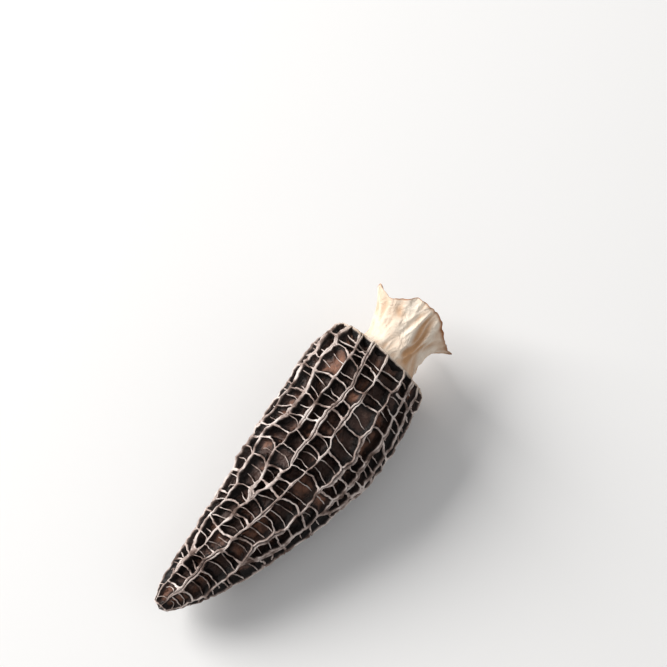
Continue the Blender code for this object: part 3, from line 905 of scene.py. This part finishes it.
def blunt_rim(angle):
    """stem_rim averaged over a few degrees either way, which blunts the points of the horn and the spike."""
    return sum(stem_rim(angle + math.radians(turn)) for turn in (-4, -2, 0, 2, 4)) / 5


def ragged_length(angle):
    """The rim's length with a slow wander and a few small nicks."""
    ring = round_tube(angle, 8, 0.0)
    nick = np.clip(np.abs(wander(ring, 2.6, 24)) - 1.0, 0, 1)
    return blunt_rim(angle)[0] + 0.22 * wander(ring, 3.5, 25) + 0.07 * wander(ring, 1.1, 26) - 0.7 * nick


def stem_grid_ring(angle, share, wall):
    """One ring of the stem's skin, or of its inside at the wall's depth."""
    radius = stem_radius(angle, share) + stem_wrinkles(angle, share) * (1 - 0.5 * (wall > 0))
    return body_point(STEM_START - share * ragged_length(angle), radius - wall, angle)


def tanned_and_shaded(angle, share):
    """How browned the skin is made: in its creases, and low on the side away from the horn. It is partly
    browned skin and partly painted shade.
    """
    side = np.clip(1.5 * np.cos(angle - SHADE_AND_TAN_TOWARDS) - 0.1, 0, 1) * (1 - 0.6 * share)
    return np.clip(0.05 - 2.6 * stem_wrinkles(angle, share) + 0.75 * side, 0, 0.9)


def build_stem():
    """Rings up the outside, over the lip, down the inside, and closed on the first ring."""
    angle = np.linspace(0, 2 * math.pi, STEM_ANGLES, endpoint=False)
    spread = 0.02 * wander(round_tube(angle, 8, 0.0), 5.0, 27)
    towards_spike = np.clip(np.cos(angle - SPIKE_TOWARDS), 0, 1) ** 4
    brown_width = np.clip(0.025 + spread + 0.07 * towards_spike, 0.004, 0.1)
    lip_brown = np.clip(0.3 + 9 * brown_width, 0.4, 1.0)
    skin = Skin()
    start = body_point(STEM_START + ROOT_SUNK, STEM_ROOT - ROOT_DRAWN_IN, angle)
    first = ring = skin.new(start, 0.0, 0.0, 0.0, 0.0)
    for share in OUTER_SHARES:
        browned = np.clip(1 - (1 - share) / brown_width, 0, 1)
        outside = stem_grid_ring(angle, share, 0.0)
        ring = skin.grow(ring, outside, tanned_and_shaded(angle, share), 0.0, browned, 0.0)
    for share, wall in LIP_SHARES:
        ring = skin.grow(ring, stem_grid_ring(angle, share, wall * STEM_WALL), 0.3, 0.1, lip_brown, 0.0)
    for share in INNER_SHARES:
        # the inside, half tanned and at depth 1, is painted browner as shade in the hollow
        ring = skin.grow(ring, stem_grid_ring(angle, share, STEM_WALL), 0.5, 1.0, 0.0, 0.0)
    skin.quads.append(quads_between(ring, first))
    return skin.piece("stem")


stem = build_stem()

# %% [markdown]
# ## Finishes
#
# Two finishes cover the mushroom. Both share one node group for the fine grain of dried flesh: two
# noises that give a mottling mask and a height for the bump. Colours come from ramps over the
# attributes of the skin, so pale crests, dark walls and russet floors keep to the shape. The dark
# of the walls is partly painted shade, which the ramps add by depth.

# %% Short ways to add nodes
class Tree:
    """A node tree, with the few kinds of node that the finishes are made of."""

    def __init__(self, tree):
        self.nodes, self.links = tree.nodes, tree.links

    def feed(self, socket, value):
        """Link a socket to the input, or set the input to a number or a colour."""
        if isinstance(value, bpy.types.NodeSocket):
            self.links.new(value, socket)
        else:
            socket.default_value = value

    def add(self, kind, inputs, **settings):
        """A node of the kind, with its settings and its inputs by name or number."""
        node = self.nodes.new("ShaderNode" + kind)
        for name, value in settings.items():
            setattr(node, name, value)
        for name, value in inputs.items():
            self.feed(node.inputs[name], value)
        return node

    def math(self, operation, *values, clamp=False):
        """Arithmetic on numbers or sockets."""
        return self.add("Math", dict(enumerate(values)), operation=operation, use_clamp=clamp).outputs[0]

    def noise(self, place, scale, detail, rough, bend=0.0):
        """Cloudy noise of about 0.3 to 0.7, finer with a larger scale."""
        inputs = {"Detail": detail, "Roughness": rough, "Distortion": bend, "Vector": place, "Scale": scale}
        return self.add("TexNoise", inputs).outputs["Fac"]

    def mix(self, amount, first, second):
        """The first colour where the amount is 0, the second where it is 1."""
        return self.add("Mix", {0: amount, 6: first, 7: second}, data_type="RGBA").outputs[2]

    def above(self, value, start, slope):
        """How far the value is past the start, times the slope, held between 0 and 1."""
        return self.math("MULTIPLY", self.math("SUBTRACT", value, start), slope, clamp=True)

    def ramp(self, value, stops):
        """A colour ramp through the given (place, red, green, blue) stops."""
        node = self.add("ValToRGB", {"Fac": value})
        elements = node.color_ramp.elements
        while len(elements) < len(stops):
            elements.new(0.5)
        for element, (place, *shade) in zip(elements, stops):
            element.position, element.color = place, colour(*shade)
        return node.outputs["Color"]

    def attribute(self, name):
        """What the mesh says at each point under the name."""
        return self.add("Attribute", {}, attribute_name=name).outputs["Fac"]

    def grain(self, size, creases):
        """The mottle and the height of the shared grain."""
        node = self.add("Group", {"Size": size, "Creases": creases}, node_tree=grain)
        return node.outputs["Mottle"], node.outputs["Height"]


def colour(red, green, blue):
    """A photograph's 0 to 255 colour as the shader's linear one."""
    share = np.array([red, green, blue]) / 255
    linear = np.where(share <= 0.04045, share / 12.92, ((share + 0.055) / 1.055) ** 2.4)
    return (*linear.tolist(), 1.0)


# %% A shared group for dried grain
def dried_grain_group():
    """Mottle: broad noise. Height: fine noise less thin creases where a third noise crosses its middle."""
    group = bpy.data.node_groups.new("dried_grain", "ShaderNodeTree")
    for label, value in (("Size", 900.0), ("Creases", 0.5)):
        group.interface.new_socket(label, in_out="INPUT", socket_type="NodeSocketFloat").default_value = value
    for label in ("Mottle", "Height"):
        group.interface.new_socket(label, in_out="OUTPUT", socket_type="NodeSocketFloat")
    given, out = group.nodes.new("NodeGroupInput"), group.nodes.new("NodeGroupOutput")
    tree = Tree(group)
    size, place = given.outputs["Size"], tree.add("TexCoord", {}).outputs["Object"]
    mottle = tree.noise(place, tree.math("MULTIPLY", size, 0.25), 3, 0.55)
    fine = tree.noise(place, size, 4, 0.6)
    fold = tree.noise(place, tree.math("MULTIPLY", size, 0.6), 2, 0.5, 0.8)
    crease = tree.math("ABSOLUTE", tree.math("SUBTRACT", fold, 0.5))
    crease = tree.math("MULTIPLY", crease, 6.0, clamp=True)
    dip = tree.math("MULTIPLY", tree.math("SUBTRACT", 1.0, crease), given.outputs["Creases"])
    tree.feed(out.inputs["Mottle"], mottle)
    tree.feed(out.inputs["Height"], tree.math("SUBTRACT", fine, dip))
    return group


grain = dried_grain_group()
print("shared group", grain.name, "gives a mottle and a height")


def finish(name):
    """A new material, its node tree and its shader."""
    material = bpy.data.materials.new(name)
    material.use_nodes = True
    return material, Tree(material.node_tree), material.node_tree.nodes["Principled BSDF"]


def dress(tree, shader, base, roughness, specular, height, bump_distance):
    """The shader's colour, roughness and specular level, and a bump from the grain's height."""
    bump = tree.add("Bump", {"Strength": 1.0, "Distance": bump_distance, "Height": height})
    values = {"Base Color": base, "Roughness": roughness, "Normal": bump.outputs["Normal"]}
    for socket, value in values.items():
        tree.feed(shader.inputs[socket], value)
    shader.inputs["Specular IOR Level"].default_value = specular


# %% [markdown]
# ### Cap flesh
#
# The crests dry pale, between cream and grey-tan, and their colour breaks where they are rubbed. The
# pits are dark brown, with a russet cast in some. Painted shade is laid over them by depth: nearly
# black at the top of the walls, lighter again in the middle of the floors. Their grain is paler on
# its raised places, partly streaks in the dried flesh and partly a painted highlight on the fine
# relief. Next to the stem a pale film lies over the ribs.

# %% Cap finish
CAP_GRAIN, CAP_BUMP = 1500.0, 0.00018
# Pit colours by depth: the near-black band high on the walls and the lighter floor middles are painted shade
# over the dark brown flesh
PIT_DARK_WITH_PAINTED_SHADE = [(0.0, 54, 39, 35), (0.3, 11, 7, 6), (0.78, 21, 13, 11), (1.0, 66, 46, 39)]
PIT_RUSSET_WITH_PAINTED_SHADE = [(0.0, 86, 62, 52), (0.3, 30, 18, 14), (0.78, 56, 34, 26), (1.0, 134, 92, 72)]
CREST_PALE = [(0.34, 106, 87, 79), (0.45, 172, 153, 145), (0.56, 220, 205, 198), (0.70, 236, 226, 220)]


def cap_flesh():
    """Pit colour by warmth with painted shade by depth, crest colour by mottle, mixed by the crest attribute.
    """
    material, tree, shader = finish("cap_flesh")
    mottle, height = tree.grain(CAP_GRAIN, 0.35)
    crest_share, depth, warmth, film = (tree.attribute(name) for name in ATTRIBUTES)
    dark, russet = tree.ramp(depth, PIT_DARK_WITH_PAINTED_SHADE), tree.ramp(depth, PIT_RUSSET_WITH_PAINTED_SHADE)
    warm = tree.math("ADD", tree.math("MULTIPLY", warmth, 0.5), tree.math("MULTIPLY", mottle, 1.6))
    pit = tree.mix(tree.above(warm, 1.06, 3.0), dark, russet)
    # paler where the grain is raised on the floors: partly streaks in the dried flesh, partly a painted
    # highlight on the fine relief
    streak_and_painted_highlight = tree.math("MULTIPLY", tree.above(height, 0.44, 3.4), tree.math("MULTIPLY", depth, 0.36))
    pit = tree.mix(streak_and_painted_highlight, pit, colour(128, 102, 90))
    edge = tree.math("SUBTRACT", crest_share, tree.math("MULTIPLY", mottle, 0.5))
    edge = tree.math("MULTIPLY", edge, 2.0, clamp=True)
    skin = tree.mix(edge, pit, tree.ramp(mottle, CREST_PALE))
    skin = tree.mix(tree.math("MULTIPLY", film, edge, clamp=True), skin, colour(214, 194, 170))
    rough = tree.math("ADD", tree.math("MULTIPLY", edge, 0.3), 0.5)
    dress(tree, shader, skin, rough, 0.3, height, CAP_BUMP)
    return material


cap_finish = cap_flesh()
print(cap_finish.name, "has", len(cap_finish.node_tree.nodes), "nodes")

# %% [markdown]
# ### Stem flesh
#
# The stem is ivory and orange-brown along the torn rim. It is tan in its creases and low on its side
# away from the horn, partly browned skin and partly painted shade. Its crest attribute holds how tan
# it is, its depth is 1 on the inside, which is painted browner as shade in the hollow, and its warmth
# marks the rim.

# %% Stem finish
STEM_GRAIN, STEM_BUMP = 700.0, 0.00020
STEM_IVORY = [(0.28, 222, 198, 174), (0.45, 238, 219, 199), (0.7, 241, 229, 213)]


def stem_flesh():
    """Ivory by mottle, browned in its creases and on its side away from the horn, partly as painted shade;
    browner towards the rim; painted browner inside as shade in the hollow.
    """
    material, tree, shader = finish("stem_flesh")
    mottle, height = tree.grain(STEM_GRAIN, 0.5)
    tan_and_shade, depth, warmth = (tree.attribute(name) for name in ATTRIBUTES[:3])
    # browned in the creases and low on the side away from the horn: partly browned skin, partly painted shade
    skin = tree.mix(tan_and_shade, tree.ramp(mottle, STEM_IVORY), colour(196, 146, 98))
    rim = tree.above(tree.math("MULTIPLY", warmth, mottle), 0.15, 3.0)
    skin = tree.mix(rim, skin, colour(160, 104, 62))
    # painted shade: the inside of the tube, where depth is 1, is painted browner
    skin = tree.mix(tree.math("MULTIPLY", depth, 0.55), skin, colour(150, 112, 78))
    dress(tree, shader, skin, 0.62, 0.4, height, STEM_BUMP)
    return material


stem_finish = stem_flesh()
print(stem_finish.name, "has", len(stem_finish.node_tree.nodes), "nodes")

# %% Dress the pieces
for piece, material, slot in (
    (cap, cap_finish, "cap_flesh"),
    (veins, cap_finish, "cap_flesh"),
    (stem, stem_finish, "stem_flesh"),
):
    piece.data.materials.append(material)
    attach(piece, "root")
    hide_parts("morel")
    print(piece.name, "stands for the solid and is dressed in", slot)

# %% [markdown]
# ## Floor and light
#
# A plain pale floor and two soft lamps: the key comes from the upper left of the picture and a
# little behind, as in the photograph, with a low fill so that the pits stay dark.

# %% Floor
FLOOR_RADII, FLOOR_CORNERS = [0.2, 0.6, 1.5, 3.0], 96


def build_floor():
    """A disc of rings whose height is zero throughout, wide enough to fill every view."""
    angle = np.linspace(0, 2 * math.pi, FLOOR_CORNERS, endpoint=False)
    radii = np.array(FLOOR_RADII)[:, None]
    points = side_by_side(radii * np.cos(angle), radii * np.sin(angle), 0.0)
    number = np.arange(len(FLOOR_RADII) * FLOOR_CORNERS).reshape(-1, FLOOR_CORNERS)
    quads = quads_between(number[1:], number[:-1])
    mesh = bpy.data.meshes.new("floor")
    mesh.from_pydata(points.reshape(-1, 3).tolist(), [], [*quads.tolist(), number[0].tolist()])
    floor = bpy.data.objects.new("floor", mesh)
    material, tree, shader = finish("pale_floor")
    tree.feed(shader.inputs["Base Color"], (0.86, 0.86, 0.86, 1.0))
    tree.feed(shader.inputs["Roughness"], 0.9)
    mesh.materials.append(material)
    bpy.context.scene.collection.objects.link(floor)
    return floor


floor = build_floor()
print("the floor is", 2 * FLOOR_RADII[-1], "m across")


# %% Lights
def add_lamp(name, direction, distance, size, power, tint):
    """A square lamp at the distance in the direction from the mushroom, turned towards it."""
    data = bpy.data.lights.new(name, "AREA")
    data.shape, data.size, data.energy, data.color = "SQUARE", size, power, tint
    lamp = bpy.data.objects.new(name, data)
    lamp.location = middle + Vector(direction).normalized() * distance
    lamp.rotation_euler = (middle - lamp.location).to_track_quat("-Z", "Y").to_euler()
    bpy.context.scene.collection.objects.link(lamp)


ahead = Vector((-camera_back.x, -camera_back.y, 0.0)).normalized()
key_way = -camera_right * 0.85 + ahead * 0.6 + Vector((0, 0, 0.68))
fill_way = camera_right * 0.9 - ahead * 0.5 + Vector((0, 0, 1.0))
add_lamp("key", key_way, distance=0.9, size=0.60, power=11.0, tint=(1.0, 0.98, 0.955))
add_lamp("fill", fill_way, distance=1.2, size=0.9, power=1.0, tint=(0.95, 0.97, 1.0))
world = bpy.data.worlds.new("studio")
world.use_nodes = True
background = world.node_tree.nodes["Background"]
background.inputs["Color"].default_value = (1.0, 1.0, 1.0, 1.0)
background.inputs["Strength"].default_value = 0.40
bpy.context.scene.world = world
bpy.context.scene.view_settings.view_transform = "Standard"
print("lamps:", [light.name for light in bpy.data.lights])
